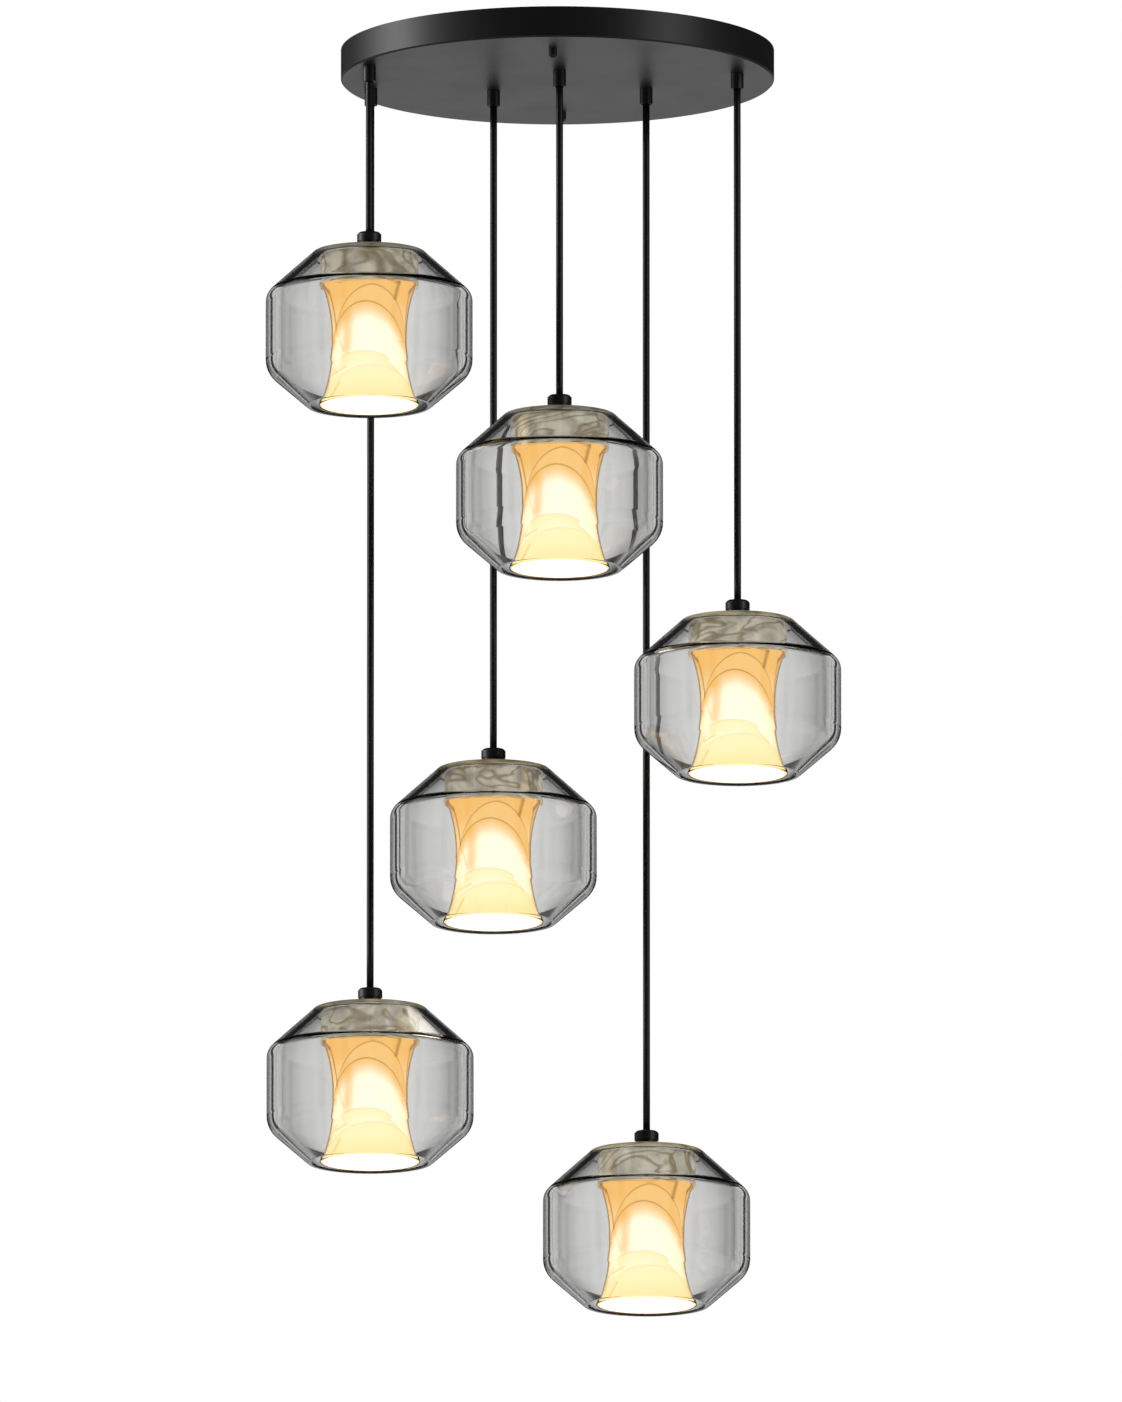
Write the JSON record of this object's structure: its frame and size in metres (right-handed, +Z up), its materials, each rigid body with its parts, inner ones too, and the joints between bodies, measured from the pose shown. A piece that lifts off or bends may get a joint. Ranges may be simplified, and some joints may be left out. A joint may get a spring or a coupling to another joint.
{
  "type": "pendant light",
  "caption": "Cluster pendant with thick smoked glass shades over waisted opal tubes, hung at staggered heights on black cords from a round ceiling canopy.",
  "frame": {"origin": "centre of the ceiling bar, between its two slots, in the plane of the ceiling", "axes": "+Z up into the ceiling, +X to the right and +Y away from the viewer of the picture"},
  "size_m": [0.556, 0.42, 1.2283],
  "materials": {
    "black_metal": "satin",
    "zinc_steel": "satin",
    "rubber": "matte",
    "black_cord": "satin",
    "smoked_glass": "polished",
    "opal_glass": "glowing",
    "satin_aluminium": "satin",
    "ceramic": "glazed ceramic",
    "lamp_glass": "frosted",
    "white_plastic": "matte",
    "brass": "satin"
  },
  "bodies": {
    "canopy": {"canopy_pan": "black_metal", "mounting_bracket": "zinc_steel", "supply_grommet": "rubber", "bracket_studs": "zinc_steel", "cap_nuts": "black_metal", "terminal_block": "white_plastic", "earth_screw": "brass", "cord_grips": "black_metal", "grip_nuts": "zinc_steel"},
    "bush_1": {"cord_bush_1": "rubber"},
    "hanger_1": {"cord_1": "black_cord"},
    "pendant_1": {"shade_cap_1": "black_metal", "outer_shade_1": "smoked_glass", "lamp_cup_1": "satin_aluminium", "inner_diffuser_1": "opal_glass", "lampholder_1": "ceramic", "lamp_1": "lamp_glass"},
    "bush_2": {"cord_bush_2": "rubber"},
    "hanger_2": {"cord_2": "black_cord"},
    "pendant_2": {"shade_cap_2": "black_metal", "outer_shade_2": "smoked_glass", "lamp_cup_2": "satin_aluminium", "inner_diffuser_2": "opal_glass", "lampholder_2": "ceramic", "lamp_2": "lamp_glass"},
    "bush_3": {"cord_bush_3": "rubber"},
    "hanger_3": {"cord_3": "black_cord"},
    "pendant_3": {"shade_cap_3": "black_metal", "outer_shade_3": "smoked_glass", "lamp_cup_3": "satin_aluminium", "inner_diffuser_3": "opal_glass", "lampholder_3": "ceramic", "lamp_3": "lamp_glass"},
    "bush_4": {"cord_bush_4": "rubber"},
    "hanger_4": {"cord_4": "black_cord"},
    "pendant_4": {"shade_cap_4": "black_metal", "outer_shade_4": "smoked_glass", "lamp_cup_4": "satin_aluminium", "inner_diffuser_4": "opal_glass", "lampholder_4": "ceramic", "lamp_4": "lamp_glass"},
    "bush_5": {"cord_bush_5": "rubber"},
    "hanger_5": {"cord_5": "black_cord"},
    "pendant_5": {"shade_cap_5": "black_metal", "outer_shade_5": "smoked_glass", "lamp_cup_5": "satin_aluminium", "inner_diffuser_5": "opal_glass", "lampholder_5": "ceramic", "lamp_5": "lamp_glass"},
    "bush_6": {"cord_bush_6": "rubber"},
    "hanger_6": {"cord_6": "black_cord"},
    "pendant_6": {"shade_cap_6": "black_metal", "outer_shade_6": "smoked_glass", "lamp_cup_6": "satin_aluminium", "inner_diffuser_6": "opal_glass", "lampholder_6": "ceramic", "lamp_6": "lamp_glass"}
  },
  "joints": [
    {"name": "swing_front_back_1", "type": "hinge", "parent": "canopy", "child": "bush_1", "pos_m": [-0.182, -0.07, -0.041], "axis": [1, 0, 0], "range_deg": [-8, 1.5]},
    {"name": "swing_sideways_1", "type": "hinge", "parent": "bush_1", "child": "hanger_1", "pos_m": [-0.182, -0.07, -0.041], "axis": [0, 1, 0], "range_deg": [-8, 8]},
    {"name": "height_1", "type": "slide", "parent": "hanger_1", "child": "pendant_1", "axis": [0, 0, 1], "range_m": [-0.06, 0.14], "deforming": ["cord_1"]},
    {"name": "swing_front_back_2", "type": "hinge", "parent": "canopy", "child": "bush_2", "pos_m": [0.002, -0.045, -0.041], "axis": [1, 0, 0], "range_deg": [-8, 1]},
    {"name": "swing_sideways_2", "type": "hinge", "parent": "bush_2", "child": "hanger_2", "pos_m": [0.002, -0.045, -0.041], "axis": [0, 1, 0], "range_deg": [-2.5, 1.5]},
    {"name": "height_2", "type": "slide", "parent": "hanger_2", "child": "pendant_2", "axis": [0, 0, 1], "range_m": [-0.06, 0.06], "deforming": ["cord_2"]},
    {"name": "swing_front_back_3", "type": "hinge", "parent": "canopy", "child": "bush_3", "pos_m": [0.174, -0.033, -0.041], "axis": [1, 0, 0], "range_deg": [-8, 1]},
    {"name": "swing_sideways_3", "type": "hinge", "parent": "bush_3", "child": "hanger_3", "pos_m": [0.174, -0.033, -0.041], "axis": [0, 1, 0], "range_deg": [-8, 0.75]},
    {"name": "height_3", "type": "slide", "parent": "hanger_3", "child": "pendant_3", "axis": [0, 0, 1], "range_m": [-0.06, 0.09], "deforming": ["cord_3"]},
    {"name": "swing_front_back_4", "type": "hinge", "parent": "canopy", "child": "bush_4", "pos_m": [-0.062, 0.05, -0.041], "axis": [1, 0, 0], "range_deg": [-1, 8]},
    {"name": "swing_sideways_4", "type": "hinge", "parent": "bush_4", "child": "hanger_4", "pos_m": [-0.062, 0.05, -0.041], "axis": [0, 1, 0], "range_deg": [-1.75, 0.5]},
    {"name": "height_4", "type": "slide", "parent": "hanger_4", "child": "pendant_4", "axis": [0, 0, 1], "range_m": [-0.06, 0.14], "deforming": ["cord_4"]},
    {"name": "swing_front_back_5", "type": "hinge", "parent": "canopy", "child": "bush_5", "pos_m": [-0.181, 0.045, -0.041], "axis": [1, 0, 0], "range_deg": [-1.5, 8]},
    {"name": "swing_sideways_5", "type": "hinge", "parent": "bush_5", "child": "hanger_5", "pos_m": [-0.181, 0.045, -0.041], "axis": [0, 1, 0], "range_deg": [-0.5, 8]},
    {"name": "height_5", "type": "slide", "parent": "hanger_5", "child": "pendant_5", "axis": [0, 0, 1], "range_m": [-0.06, 0.08], "deforming": ["cord_5"]},
    {"name": "swing_front_back_6", "type": "hinge", "parent": "canopy", "child": "bush_6", "pos_m": [0.086, 0.041, -0.041], "axis": [1, 0, 0], "range_deg": [-1, 8]},
    {"name": "swing_sideways_6", "type": "hinge", "parent": "bush_6", "child": "hanger_6", "pos_m": [0.086, 0.041, -0.041], "axis": [0, 1, 0], "range_deg": [-0.75, 2.5]},
    {"name": "height_6", "type": "slide", "parent": "hanger_6", "child": "pendant_6", "axis": [0, 0, 1], "range_m": [-0.06, 0.14], "deforming": ["cord_6"]}
  ]
}
